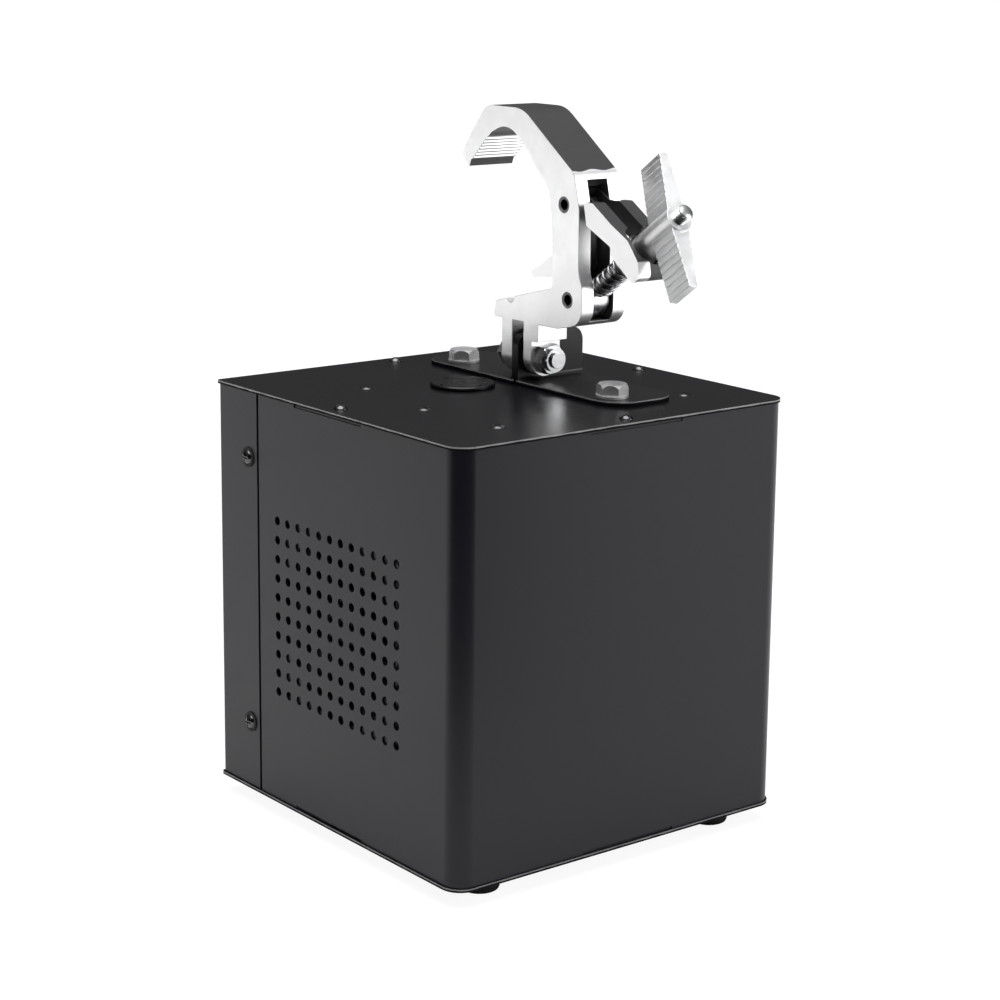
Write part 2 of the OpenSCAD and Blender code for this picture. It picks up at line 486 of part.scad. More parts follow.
// ---------- heater and outlet ----------
module heater_block() color([0.7, 0.7, 0.7]) translate([30, heat_y, heat_z]) difference() {
  block([0, 64], [-30, 30], [-25, 25]);
  for (s = [-30, 30]) block([-1, 65], [s - 1, s + 1], [-0.6, 0.6]);
  xcyl(4, -1, 70);
  translate([0, 18, 0]) xcyl(6, -5, 70);
}
module heater_element() color([0.5, 0.45, 0.4]) translate([24, heat_y + 18, heat_z]) { xcyl(6, 0, 68); xcyl(1.2, -8, 0.1); }
module heater_insulation() color([0.9, 0.88, 0.8]) translate([30, heat_y, heat_z]) difference() {
  block([-7, 71], [-37, 37], [-32, 32]);
  block([0, 64], [-30, 30], [-25, 25]);
  xcyl(4.2, -10, 80);
  translate([0, 18, 0]) xcyl(6.4, -10, 1);
}
module heater_shield() color([0.65, 0.65, 0.66]) difference() {
  union() {
    translate([30, heat_y, heat_z]) difference() { block([-8.2, 72.2], [-38.2, 38.2], [-33.2, 33.2]); block([-7, 71], [-37, 37], [-32, 32]); }
    for (x = [26, 93]) block([x, x + 9], [heat_y - 38.2, heat_y - 37], [z_floor, heat_z - 30]);
    for (x = [26, 93]) block([x, x + 9], [heat_y + 37, heat_y + 38.2], [z_floor, heat_z - 30]);
    for (x = [26, 93], s = [-1, 1]) translate([x + 4.5, heat_y + s * 41.2, z_floor + 0.6]) cube([9, 8, 1.2], center = true);
  }
  translate([0, heat_y, heat_z]) xcyl(6.4, 98, 110);
  translate([0, heat_y, heat_z]) xcyl(4.6, 10, 32);
  translate([0, heat_y + 18, heat_z]) xcyl(7, 10, 32);
}
module thermostat() color([0.15, 0.15, 0.15]) translate([62, heat_y, heat_z + 33.2]) { cylinder(r = 8, h = 5); translate([0, 0, 4.9]) cylinder(r = 5.5, h = 6); for (s = [-1, 1]) translate([s * 3 - 0.4, -2.5, 10]) cube([0.8, 5, 8]); }
module fog_nozzle() color([0.8, 0.65, 0.35]) translate([0, heat_y, heat_z]) difference() {
  union() { xcyl(4, 88, 104); xcyl(6, 103, 112); translate([112, 0, 0]) rotate([0, 90, 0]) cylinder(r1 = 6, r2 = 3.2, h = 6); }
  xcyl(1.6, 80, 112); xcyl(0.8, 111, 120);
}
module outlet_collar() color([0.14, 0.14, 0.15]) translate([wo, heat_y, heat_z]) rotate([0, 90, 0]) difference() {
  union() { cylinder(r = collar_r, h = collar_len, $fn = 72); cylinder(r = collar_r + 8, h = 1.5, $fn = 72); }
  translate([0, 0, -1]) cylinder(r = collar_r - 2.5, h = collar_len + 2, $fn = 72);
  for (a = [45:90:315]) rotate([0, 0, a]) translate([collar_r + 4.5, 0, -1]) cylinder(r = 1.7, h = 5, $fn = 20);
}

// ---------- electrics ----------
module power_supply() color([0.2, 0.35, 0.2]) {
  for (x = [-84, -16], y = [-100, -46]) translate([x, y, z_floor]) cylinder(r = 2.5, h = 6);
  block([-90, -10], [-112, -40], [z_floor + 6, z_floor + 7.6]);
  block([-60, -30], [-98, -68], [z_floor + 7.6, z_floor + 34]);
  for (y = [-100, -80, -60]) translate([-76, y, z_floor + 7.6]) cylinder(r = 8, h = 26);
  block([-24, -14], [-104, -50], [z_floor + 7.6, z_floor + 32]);
}
module control_board() color([0.1, 0.35, 0.15]) {
  block([0, 100], [100, 101.6], [150, 240]);
  for (x = [4, 96], z = [154, 236]) translate([x, 0, z]) ycyl(2.5, 101.6, wi);
  for (x = btn_x) block([x - 3, x + 3], [101.6, 108], [btn_z - 3, btn_z + 3]);
  block([20, 50], [94, 100], [170, 200]);
  block([70, 84], [92, 100], [160, 220]);
}
module display_module() color([0.1, 0.1, 0.12]) block([10, 80], [101.6, 119], [190, 228]);
module display_window() color([0.05, 0.07, 0.1]) { block([12.2, 77.8], [119, wo - 0.4], [196.2, 223.8]); }
module button(x) translate([x, 0, btn_z]) {
  ycyl(6, 109, 120);
  ycyl(4.6, 119.9, wo + 2.2);
  translate([0, wo + 3, 0]) ycyl(4, -0.9, 0);
}
module button_menu() color([0.1, 0.1, 0.1]) button(btn_x[0]);
module button_down() color([0.1, 0.1, 0.1]) button(btn_x[1]);
module button_up() color([0.1, 0.1, 0.1]) button(btn_x[2]);
module button_enter() color([0.1, 0.1, 0.1]) button(btn_x[3]);

module power_inlet() color([0.08, 0.08, 0.08]) translate([iec[0], 0, iec[1]]) difference() {
  union() {
    block([-13.7, 13.7], [94, wo + 0.01], [-23.7, 23.7]);
    block([-16, 16], [wo, wo + 2.4], [-30, 30]);
    for (p = [[-7, 6], [0, 9], [7, 6]]) block([p[0] - 1, p[0] + 1], [86, 100], [p[1] - 2, p[1] + 2]);
  }
  difference() {
    xz(108, wo + 4) polygon([[-12, -1.5], [12, -1.5], [12, 12], [7.5, 17], [-7.5, 17], [-12, 12]]);
    for (p = [[-7, 4.5], [0, 9.5], [7, 4.5]]) block([p[0] - 1, p[0] + 1], [106, 120], [p[1] - 2, p[1] + 2]);
  }
  block([-11.3, 11.3], [100, wo + 4], [-18.3, -5.7]);
}
module fuse_drawer() color([0.1, 0.1, 0.1]) translate([iec[0], 0, iec[1]]) difference() {
  union() { block([-11, 11], [101, wo + 2.2], [-18, -6]); block([-5, 5], [wo + 2, wo + 3.4], [-9, -7.5]); }
  block([-8.5, 8.5], [103, wo - 1], [-16, -4]);
}
module xlr_flange(x) translate([x, 0, dmx_z]) difference() {
  union() {
    block([-13, 13], [wo, wo + 2], [-15.5, 15.5]);
    ycyl(11.9, 98, wo + 0.01);
  }
  for (p = [[-9.5, 12], [9.5, -12]]) translate([p[0], 0, p[1]]) ycyl(1.6, wo - 1, wo + 4);
  ycyl(9.2, 108, wo + 4);
}
module dmx_in_socket() color([0.3, 0.3, 0.31]) {
  xlr_flange(dmx_x[0]);
  translate([dmx_x[0], 0, dmx_z]) for (a = [90, 210, 330]) translate([5 * cos(a), 0, 5 * sin(a)]) ycyl(1.2, 107, 121);
}
module dmx_out_socket() color([0.3, 0.3, 0.31]) {
  xlr_flange(dmx_x[1]);
  translate([dmx_x[1], 0, dmx_z]) difference() {
    ycyl(7.9, 107.9, wo + 1);
    for (a = [90, 210, 330]) translate([4.2 * cos(a), 0, 4.2 * sin(a)]) ycyl(1.4, 112, wo + 3);
  }
}
module fan_frame() color([0.09, 0.09, 0.09]) translate([fan_x, fan_y, fan_z]) {
  difference() {
    translate([0, -60, -60]) cube([fan_t, 120, 120]);
    xcyl(57.5, -1, fan_t + 1);
    for (a = [45:90:315]) rotate([a, 0, 0]) translate([0, 74.2, 0]) xcyl(2.2, -1, fan_t + 1);
  }
  xcyl(19, fan_t - 4, fan_t);
  for (a = [30, 150, 270]) rotate([a, 0, 0]) block([fan_t - 4, fan_t], [16, 58.5], [-2.5, 2.5]);
}
module fan_rotor() color([0.13, 0.13, 0.13]) translate([fan_x, fan_y, fan_z]) {
  xcyl(20, 3, fan_t - 5);
  for (a = [0:360 / 7:359]) rotate([a, 0, 0]) intersection() {
    translate([fan_t / 2 - 1, 37, 0]) rotate([0, -38, 0]) cube([1.6, 36, 30], center = true);
    xcyl(54.5, 3, fan_t - 5);
  }
}
module wiring_loom() color([0.1, 0.1, 0.1]) {
  tube_along(smooth([[-70, 93.9, 60], [-70.5, 86, 59], [-73, 79, 48], [-74, 72, 26], [-72, 40, 18], [-70, -10, 18], [-67, -30, 19], [-66, -39.9, 19.8]], 4), 2.6);
  tube_along(smooth([[-13.9, -60, 30], [-8, -60, 34], [-4, -56, 60], [-2, -48, 90], [2, -42, 99], [8, -40, 100], [15.9, -40, 100]], 4), 1.6);
  tube_along(smooth([[90, 99.8, 236], [90, 90, 240], [88, 70, 240], [80, 0, 246], [70, -60, 240], [65, -60, 180], [65, -58, 151.4]], 4), 1.6);
}

wrap_shell();
rear_panel();
top_plate();
bottom_plate();
rubber_feet();
foot_screws();
top_edge_screws();
top_fixing_screws();
side_screws();
side_screw_washers();
bottom_screws();
bracket_angle_front();
bracket_angle_rear();
bracket_bolts();
bracket_washers();
bracket_nuts();
tilt_bolt();
tilt_nut();
tilt_washers();
clamp_body();
jaw_pin();
eye_bolt_pin();
jaw_lever();
eye_bolt();
saddle_washer();
wing_nut();
jaw_spring();
filler_cap();
filler_neck();
fluid_tank();
pickup_tube();
pump_body();
pump_coil();
pump_plunger();
pump_bracket();
suction_hose();
pressure_pipe();
heater_block();
heater_element();
heater_insulation();
heater_shield();
thermostat();
fog_nozzle();
outlet_collar();
power_supply();
control_board();
display_module();
display_window();
button_menu();
button_down();
button_up();
button_enter();
power_inlet();
fuse_drawer();
dmx_in_socket();
dmx_out_socket();
fan_frame();
fan_rotor();
wiring_loom();
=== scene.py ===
import bpy, bmesh, math
import numpy as np
from mathutils import Matrix, Vector


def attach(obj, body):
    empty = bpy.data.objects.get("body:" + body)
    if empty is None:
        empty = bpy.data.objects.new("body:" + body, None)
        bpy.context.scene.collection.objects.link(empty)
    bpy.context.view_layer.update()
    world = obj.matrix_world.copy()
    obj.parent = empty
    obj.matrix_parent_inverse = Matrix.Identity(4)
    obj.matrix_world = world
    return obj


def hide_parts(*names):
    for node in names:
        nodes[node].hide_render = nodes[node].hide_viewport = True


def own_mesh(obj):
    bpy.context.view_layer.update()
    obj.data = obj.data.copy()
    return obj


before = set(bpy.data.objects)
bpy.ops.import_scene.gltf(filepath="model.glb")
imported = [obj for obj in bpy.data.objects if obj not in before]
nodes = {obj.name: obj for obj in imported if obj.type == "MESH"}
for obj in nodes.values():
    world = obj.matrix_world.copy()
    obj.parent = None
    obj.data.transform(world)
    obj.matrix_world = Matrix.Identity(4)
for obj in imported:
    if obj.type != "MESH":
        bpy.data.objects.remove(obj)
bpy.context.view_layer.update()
MM = 0.001
scene = bpy.context.scene

# places that the CAD fixes, in millimetres in the row frame
XC, YC, ZT = 35.0, 4.5, 285.5
P1 = (-42.4, 97.8)
P2 = (-47.0, 41.0)
BOLT_A = math.radians(144.5)
Z_TOP, Z_BOT = 268.0, 11.0
HW, WO = 125.0, 124.0


def bolt_frame(s=0.0):
    """Row frame of the eye bolt, in mm: +Z runs along it from its pin."""
    return (
        Matrix.Translation((XC, YC + P2[0], ZT + P2[1]))
        @ Matrix.Rotation(BOLT_A - math.pi / 2, 4, "X")
        @ Matrix.Translation((0, 0, s))
    )


# ------------------------------------------------------------------ camera
def make_camera():
    a, e, roll = math.radians(38.17), math.radians(11.6), math.radians(0.60)
    fwd = Vector((math.sin(a) * math.cos(e), math.cos(a) * math.cos(e), -math.sin(e)))
    right = Vector((math.cos(a), -math.sin(a), 0))
    up = right.cross(fwd)
    cx = math.cos(roll) * right + math.sin(roll) * up
    cy = -math.sin(roll) * right + math.cos(roll) * up
    data = bpy.data.cameras.new("camera")
    cam = bpy.data.objects.new("camera", data)
    scene.collection.objects.link(cam)
    m = Matrix((cx, cy, -fwd)).transposed().to_4x4()
    m.translation = Vector((-0.8796, -1.1206, 0.5409))
    cam.matrix_world = m
    data.sensor_width = 36
    data.lens = 85.32
    data.shift_y = -0.08
    data.clip_start, data.clip_end = 0.05, 60
    scene.camera = cam
    return cam


camera = make_camera()
scene.view_settings.view_transform = "Standard"
scene.view_settings.look = "None"

# ------------------------------------------------------------------ stage


def stage_plane(name, size, matrix, material, camera_ray=True, others=True):
    mesh = bpy.data.meshes.new(name)
    x, y = size[0] / 2, size[1] / 2
    mesh.from_pydata([(-x, -y, 0), (x, -y, 0), (x, y, 0), (-x, y, 0)], [], [(0, 1, 2, 3)])
    o = bpy.data.objects.new(name, mesh)
    o.matrix_world = matrix
    mesh.materials.append(material)
    scene.collection.objects.link(o)
    if not camera_ray:
        o.visible_camera = False
    if not others:
        o.visible_diffuse = o.visible_shadow = o.visible_transmission = o.visible_volume_scatter = False
    return o


class Graph:
    """A small hand for building node materials."""

    def __init__(self, name):
        self.m = bpy.data.materials.new(name)
        self.m.use_nodes = True
        self.t = self.m.node_tree
        self.t.nodes.clear()
        self.out = self.t.nodes.new("ShaderNodeOutputMaterial")
        self.b = self.t.nodes.new("ShaderNodeBsdfPrincipled")
        self.t.links.new(self.b.outputs[0], self.out.inputs[0])
        self.co = None

    def node(self, kind, **kw):
        n = self.t.nodes.new(kind)
        for k, v in kw.items():
            setattr(n, k, v)
        return n

    def link(self, a, b):
        self.t.links.new(a, b)
        return b

    def coord(self):
        if self.co is None:
            self.co = self.node("ShaderNodeTexCoord")
        return self.co.outputs["Object"]

    def normal(self):
        self.coord()
        return self.co.outputs["Normal"]

    def set(self, **kw):
        names = {"base": "Base Color", "metal": "Metallic", "rough": "Roughness", "ior": "IOR",
                 "coat": "Coat Weight", "coat_rough": "Coat Roughness", "trans": "Transmission Weight",
                 "spec": "Specular IOR Level", "sheen": "Sheen Weight", "alpha": "Alpha",
                 "sss": "Subsurface Weight", "emit": "Emission Strength", "emit_color": "Emission Color",
                 "aniso": "Anisotropic"}
        for k, v in kw.items():
            s = self.b.inputs[names[k]]
            if isinstance(v, bpy.types.NodeSocket):
                self.link(v, s)
            elif isinstance(v, (tuple, list)):
                s.default_value = (*v, 1.0) if len(v) == 3 else v
            else:
                s.default_value = v
        return self

    def mapping(self, scale):
        m = self.node("ShaderNodeMapping")
        m.inputs["Scale"].default_value = scale
        self.link(self.coord(), m.inputs["Vector"])
        return m.outputs[0]

    def noise(self, scale, detail=3, rough=0.5, vec=None, distort=0.0):
        n = self.node("ShaderNodeTexNoise")
        n.inputs["Scale"].default_value = scale
        n.inputs["Detail"].default_value = detail
        n.inputs["Roughness"].default_value = rough
        n.inputs["Distortion"].default_value = distort
        self.link(vec or self.coord(), n.inputs["Vector"])
        return n.outputs["Fac"]

    def voronoi(self, scale, feature="F1", vec=None):
        n = self.node("ShaderNodeTexVoronoi", feature=feature)
        n.inputs["Scale"].default_value = scale
        self.link(vec or self.coord(), n.inputs["Vector"])
        return n.outputs["Distance"]

    def ramp(self, v, a, b, lo=0.0, hi=1.0, smooth=True):
        n = self.node("ShaderNodeMapRange", interpolation_type="SMOOTHSTEP" if smooth else "LINEAR")
        n.inputs["From Min"].default_value, n.inputs["From Max"].default_value = lo, hi
        n.inputs["To Min"].default_value, n.inputs["To Max"].default_value = a, b
        self.link(v, n.inputs["Value"])
        return n.outputs["Result"]

    def math(self, op, a, b=None, c=None, clamp=False):
        n = self.node("ShaderNodeMath", operation=op, use_clamp=clamp)
        for i, v in enumerate((a, b, c)):
            if v is None:
                continue
            if isinstance(v, bpy.types.NodeSocket):
                self.link(v, n.inputs[i])
            else:
                n.inputs[i].default_value = v
        return n.outputs[0]

    def mix(self, f, a, b):
        n = self.node("ShaderNodeMix", data_type="RGBA")
        for s, v in ((n.inputs[0], f), (n.inputs[6], a), (n.inputs[7], b)):
            if isinstance(v, bpy.types.NodeSocket):
                self.link(v, s)
            elif isinstance(v, (tuple, list)):
                s.default_value = (*v, 1.0) if len(v) == 3 else v
            else:
                s.default_value = v
        return n.outputs[2]

    def mixf(self, f, a, b):
        n = self.node("ShaderNodeMix", data_type="FLOAT")
        for s, v in ((n.inputs[0], f), (n.inputs[2], a), (n.inputs[3], b)):
            if isinstance(v, bpy.types.NodeSocket):
                self.link(v, s)
            else:
                s.default_value = v
        return n.outputs[0]

    def xyz(self, v):
        n = self.node("ShaderNodeSeparateXYZ")
        self.link(v, n.inputs[0])
        return n.outputs

    def bump(self, height, distance, strength=1.0, normal=None):
        n = self.node("ShaderNodeBump")
        n.inputs["Strength"].default_value = strength
        n.inputs["Distance"].default_value = distance
        self.link(height, n.inputs["Height"])
        if normal is not None:
            self.link(normal, n.inputs["Normal"])
        return n.outputs[0]

    def use_bump(self, n):
        self.link(n, self.b.inputs["Normal"])
        return self


def floor_material():
    g = Graph("floor_paper")
    n = g.noise(14, 4)
    g.set(base=g.mix(n, (0.84, 0.84, 0.84), (0.88, 0.88, 0.88)), rough=0.9, spec=0.1)
    # the sweep burns out to plain white in the picture, but still lights the object
    white = g.node("ShaderNodeEmission")
    white.inputs[0].default_value = (1, 1, 1, 1)
    white.inputs[1].default_value = 1.05
    path = g.node("ShaderNodeLightPath")
    mix = g.node("ShaderNodeMixShader")
    g.link(g.math("MULTIPLY", path.outputs["Is Camera Ray"], 0.88), mix.inputs[0])
    g.link(g.b.outputs[0], mix.inputs[1])
    g.link(white.outputs[0], mix.inputs[2])
    g.link(mix.outputs[0], g.out.inputs[0])
    return g.m


stage_plane("floor", (30, 30), Matrix.Identity(4), floor_material())


def world_light():
    w = bpy.data.worlds.new("studio")
    scene.world = w
    w.use_nodes = True
    t = w.node_tree
    t.nodes.clear()
    out = t.nodes.new("ShaderNodeOutputWorld")
    bg = t.nodes.new("ShaderNodeBackground")
    co = t.nodes.new("ShaderNodeTexCoord")
    sep = t.nodes.new("ShaderNodeSeparateXYZ")
    ramp = t.nodes.new("ShaderNodeValToRGB")
    ramp.color_ramp.interpolation = "EASE"
    e = ramp.color_ramp.elements
    e[0].position, e[0].color = 0.0, (0.018, 0.018, 0.02, 1)
    e[1].position, e[1].color = 1.0, (0.75, 0.75, 0.76, 1)
    for p, c in ((0.25, 0.022), (0.5, 0.16)):
        x = e.new(p)
        x.color = (c, c, c * 1.02, 1)
    t.links.new(co.outputs["Generated"], sep.inputs[0])
    t.links.new(sep.outputs["Z"], ramp.inputs[0])
    t.links.new(ramp.outputs[0], bg.inputs[0])
    white = t.nodes.new("ShaderNodeBackground")
    white.inputs[0].default_value = (1, 1, 1, 1)
    path = t.nodes.new("ShaderNodeLightPath")
    mix = t.nodes.new("ShaderNodeMixShader")
    t.links.new(path.outputs["Is Camera Ray"], mix.inputs[0])
    t.links.new(bg.outputs[0], mix.inputs[1])
    t.links.new(white.outputs[0], mix.inputs[2])
    t.links.new(mix.outputs[0], out.inputs[0])


world_light()


def aim(loc, target):
    m = (Vector(target) - Vector(loc)).to_track_quat("-Z", "Y").to_matrix().to_4x4()
    m.translation = Vector(loc)
    return m


def area(name, loc, target, size, power, size_y=None, glossy=True, diffuse=True, shadow=True):
    d = bpy.data.lights.new(name, "AREA")
    d.shape = "RECTANGLE"
    d.size, d.size_y = size, size_y or size
    d.energy = power
    d.use_shadow = shadow
    o = bpy.data.objects.new(name, d)
    o.matrix_world = aim(loc, target)
    o.visible_camera = False
    o.visible_glossy = glossy
    o.visible_diffuse = diffuse
    scene.collection.objects.link(o)
    return o


def sun(name, direction, power, angle):
    d = bpy.data.lights.new(name, "SUN")
    d.energy = power
    d.angle = math.radians(angle)
    o = bpy.data.objects.new(name, d)
    o.matrix_world = aim(-Vector(direction), (0, 0, 0))
    scene.collection.objects.link(o)
    return o


sun("overhead", (0.12, 0.10, -1.0), 4.1, 60)
area("key_left", (-1.5, -0.2, 1.2), (0, 0, 0.3), 1.0, 0.6)
area("fill_right", (1.3, -1.6, 0.9), (0, 0, 0.2), 1.1, 18)
area("back_top", (0.9, 1.15, 0.78), (-0.1, -0.1, 0.27), 0.9, 0.15, 0.5)


def arc_flag(name, radius, centre_deg, half_deg, z0, z1, value=0.0, steps=24):
    """Black card bent round the front, seen only in reflections."""
    g = Graph(name)
    g.set(base=(value, value, value), rough=1.0, spec=0.0)
    mesh = bpy.data.meshes.new(name)
    v, f = [], []
    for i in range(steps + 1):
        a = math.radians(centre_deg - half_deg + 2 * half_deg * i / steps)
        v += [(radius * math.cos(a), radius * math.sin(a), z0), (radius * math.cos(a), radius * math.sin(a), z1)]
    for i in range(steps):
        f.append((2 * i, 2 * i + 2, 2 * i + 3, 2 * i + 1))
    mesh.from_pydata(v, [], f)
    o = bpy.data.objects.new(name, mesh)
    mesh.materials.append(g.m)
    scene.collection.objects.link(o)
    o.visible_camera = False
    o.visible_diffuse = o.visible_shadow = o.visible_transmission = o.visible_volume_scatter = False
    return o


arc_flag("front_flag", 0.50, -128.17, 54, 0.001, 0.62)

# ------------------------------------------------------------------ materials
MAT = {}


def powder(name, base, rough, grain=0.55, spec=0.5):
    """Satin powder coat: fine orange peel, slight cloudiness in the gloss."""
    g = Graph(name)
    cloud = g.noise(9, 3, 0.55)
    fine = g.noise(1500, 2, 0.6)
    peel = g.voronoi(620, "SMOOTH_F1")
    speck = g.noise(3600, 1)
    g.set(
        base=g.mix(g.ramp(cloud, 0, 1, 0.3, 0.7), tuple(c * 0.88 for c in base), tuple(c * 1.14 for c in base)),
        rough=g.math("ADD", g.ramp(cloud, -0.02, 0.02, 0.3, 0.7), g.ramp(fine, rough - 0.03, rough + 0.03)),
        spec=spec,
    )
    h = g.math("ADD", g.math("MULTIPLY", peel, 0.7), g.math("MULTIPLY", speck, 0.3))
    g.use_bump(g.bump(h, 0.00006 * grain, 0.5))
    MAT[name] = g.m
    return g.m


def plain_metal(name, base, rough, scale=(1, 1, 1), grain=900, bump=0.00002, vary=0.08, dark=0.75):
    """Bare or plated metal: fine directional grain and tone that wanders a little."""
    g = Graph(name)
    v = g.mapping(scale)
    fine = g.noise(grain, 3, 0.6, v)
    cloud = g.noise(60, 4, 0.6)
    g.set(
        base=g.mix(g.ramp(cloud, 0, 1, 0.35, 0.7), tuple(c * dark for c in base), base),
        metal=1.0,
        rough=g.math("ADD", g.ramp(cloud, -vary / 2, vary / 2, 0.3, 0.7), g.ramp(fine, rough - vary / 2, rough + vary / 2)),
    )
    g.use_bump(g.bump(fine, bump, 0.6))
    MAT[name] = g.m
    return g.m


def plastic(name, base, rough, grain=1400, bump=0.00003, spec=0.5):
    g = Graph(name)
    fine = g.noise(grain, 2, 0.6)
    cloud = g.noise(25, 3)
    g.set(
        base=g.mix(cloud, tuple(c * 0.85 for c in base), tuple(c * 1.12 for c in base)),
        rough=g.ramp(fine, rough - 0.05, rough + 0.05),
        spec=spec,
    )
    g.use_bump(g.bump(fine, bump, 0.5))
    MAT[name] = g.m
    return g.m


powder("case_coat", (0.0034, 0.0034, 0.0064), 0.38, spec=0.25)
powder("plate_coat", (0.0036, 0.0036, 0.0046), 0.29, spec=0.24)
powder("bracket_coat", (0.0050, 0.0050, 0.0060), 0.34, 0.8, 0.34)
plastic("rubber", (0.010, 0.010, 0.010), 0.75, 700, 0.00008, 0.3)
plain_metal("black_screw", (0.10, 0.10, 0.104), 0.22, grain=1500)
plain_metal("zinc", (0.72, 0.73, 0.74), 0.30, grain=700)
plain_metal("grey_bolt", (0.62, 0.62, 0.63), 0.56, grain=1200, bump=0.00003)
plain_metal("bright_bolt", (0.80, 0.81, 0.82), 0.24, grain=900)
plain_metal("pin_steel", (0.14, 0.14, 0.145), 0.35)
plain_metal("spring_steel", (0.42, 0.42, 0.43), 0.18, grain=1200)
plain_metal("eye_steel", (0.70, 0.71, 0.72), 0.28, grain=1200)
plain_metal("wing_metal", (0.88, 0.885, 0.89), 0.46, grain=700, bump=0.00003, dark=0.9)
plastic("black_plastic", (0.012, 0.012, 0.013), 0.42)
plastic("tank_plastic", (0.62, 0.65, 0.66), 0.42)
plain_metal("brass", (0.75, 0.56, 0.25), 0.30)
plain_metal("copper", (0.80, 0.42, 0.24), 0.33)
plain_metal("heater_alu", (0.62, 0.62, 0.63), 0.45, grain=500, bump=0.00006)
plastic("insulation", (0.72, 0.69, 0.60), 0.95, 500, 0.0005, 0.2)
plastic("hose", (0.50, 0.50, 0.46), 0.40)
plastic("tape", (0.55, 0.42, 0.06), 0.5)
plastic("pcb_green", (0.012, 0.085, 0.035), 0.35)
plastic("wire", (0.015, 0.015, 0.016), 0.45)
plastic("glass", (0.004, 0.006, 0.010), 0.06, spec=0.35)
plain_metal("socket_metal", (0.22, 0.22, 0.225), 0.35)


def painted_edge_highlight(name, z, bright=0.20, top=9.0):
    """Sheet edge band: a painted highlight, light grey and shiny, along the upper arris just above z, and painted
    shade, near-black and matte, below it.
    """
    g = Graph(name)
    px, py, pz = g.xyz(g.coord())
    m = g.ramp(g.math("ADD", pz, g.ramp(g.noise(90, 3), -0.00035, 0.00025)), 0, 1, (z - 0.1) * MM, (z + 0.1) * MM)
    above = g.ramp(pz, 0, 1, (z + top) * MM, (z + top + 0.05) * MM)
    m = g.math("MULTIPLY", m, g.math("SUBTRACT", 1.0, above))
    # painted highlight in the band above z, painted shade (a dark gap line) below z
    g.set(
        base=g.mix(m, (0.003, 0.003, 0.004), g.mix(g.noise(45, 4), (bright * 0.45,) * 3, (bright,) * 3)),
        rough=g.mixf(m, g.mixf(above, 0.6, 0.34), 0.28),
        spec=g.mixf(m, g.mixf(above, 0.05, 0.34), 0.5),
    )
    MAT[name] = g.m
    return g.m


# painted edge highlights with painted shade beneath, on the top plate rim, the bottom plate rim and the bracket strip
# edges
painted_edge_highlight("top_edge", Z_TOP - 0.9)
painted_edge_highlight("bottom_edge", Z_BOT + 1.1, 0.12)
painted_edge_highlight("strip_edge", Z_TOP + 2.15, 0.26, 0.95)


